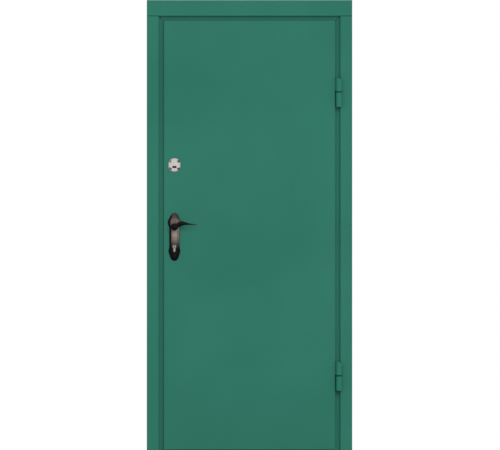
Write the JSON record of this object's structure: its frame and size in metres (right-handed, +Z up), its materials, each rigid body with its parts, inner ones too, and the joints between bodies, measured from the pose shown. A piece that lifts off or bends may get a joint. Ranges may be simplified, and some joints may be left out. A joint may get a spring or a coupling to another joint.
{
  "type": "outward opening steel entrance door with its frame",
  "caption": "Flat painted steel entrance door leaf in a folded steel frame with casing, hung on drop-shaped hinges, with a lever handle on a shaped plate and an upper lock escutcheon.",
  "frame": {"origin": "middle of the threshold's flat underside, at floor level, in the plane of the wall's outer face on which the casing's lip lies", "axes": "+Z up, +X to the right seen from outside, +Y into the wall; the outside of the door faces -Y"},
  "size_m": [0.96, 0.173, 2.11],
  "materials": {
    "green_paint": "satin polymer paint with a fine orange-peel grain",
    "dark_bronze": "antique bronze, dark in the hollows and rubbed lighter on the crown",
    "satin_nickel": "satin nickel",
    "cylinder_nickel": "plain nickel plated",
    "bare_steel": "turned bright steel, lightly greased",
    "zinc_steel": "zinc plated",
    "washer_brass": "turned brass",
    "seal_rubber": "matt black sponge rubber",
    "mineral_wool": "pressed mineral wool slab"
  },
  "bodies": {
    "frame": {"jamb_hinge_side": "green_paint", "jamb_lock_side": "green_paint", "frame_head": "green_paint", "threshold": "green_paint", "hinge_bottom_lower": "green_paint", "hinge_bottom_pin": "bare_steel", "hinge_bottom_washer": "washer_brass", "hinge_top_lower": "green_paint", "hinge_top_pin": "bare_steel", "hinge_top_washer": "washer_brass", "strike_plate_main": "zinc_steel", "strike_plate_upper": "zinc_steel"},
    "leaf": {"escutcheon_inside": "satin_nickel", "escutcheon_outside": "satin_nickel", "handle_plate_inside": "dark_bronze", "handle_plate_outside": "dark_bronze", "hinge_bottom_upper": "green_paint", "hinge_top_upper": "green_paint", "latch_bolt": "bare_steel", "leaf_back_tray": "green_paint", "leaf_filling": "mineral_wool", "leaf_front_sheet": "green_paint", "leaf_seal_foot": "seal_rubber", "leaf_seal_head": "seal_rubber", "leaf_seal_hinge_side": "seal_rubber", "leaf_seal_lock_side": "seal_rubber", "lock_bolts_main": "bare_steel", "lock_bolts_upper": "bare_steel", "lock_case_main": "zinc_steel", "lock_case_upper": "zinc_steel", "lock_face_plate_main": "zinc_steel", "lock_face_plate_upper": "zinc_steel", "profile_cylinder": "cylinder_nickel"},
    "lever": {"lever_outside": "dark_bronze", "lever_inside": "dark_bronze", "spindle": "bare_steel"}
  },
  "joints": [
    {"name": "leaf_swing", "type": "hinge", "parent": "frame", "child": "leaf", "pos_m": [0.4185, -0.035, 0.354], "axis": [0, 0, 1], "range_deg": [0, 170]},
    {"name": "lever_turn", "type": "hinge", "parent": "leaf", "child": "lever", "pos_m": [-0.351, -0.02, 1.049], "axis": [0, 1, 0], "range_deg": [0, 40], "stiffness_Nm_per_rad": 0.8, "springref_deg": -34.38}
  ]
}
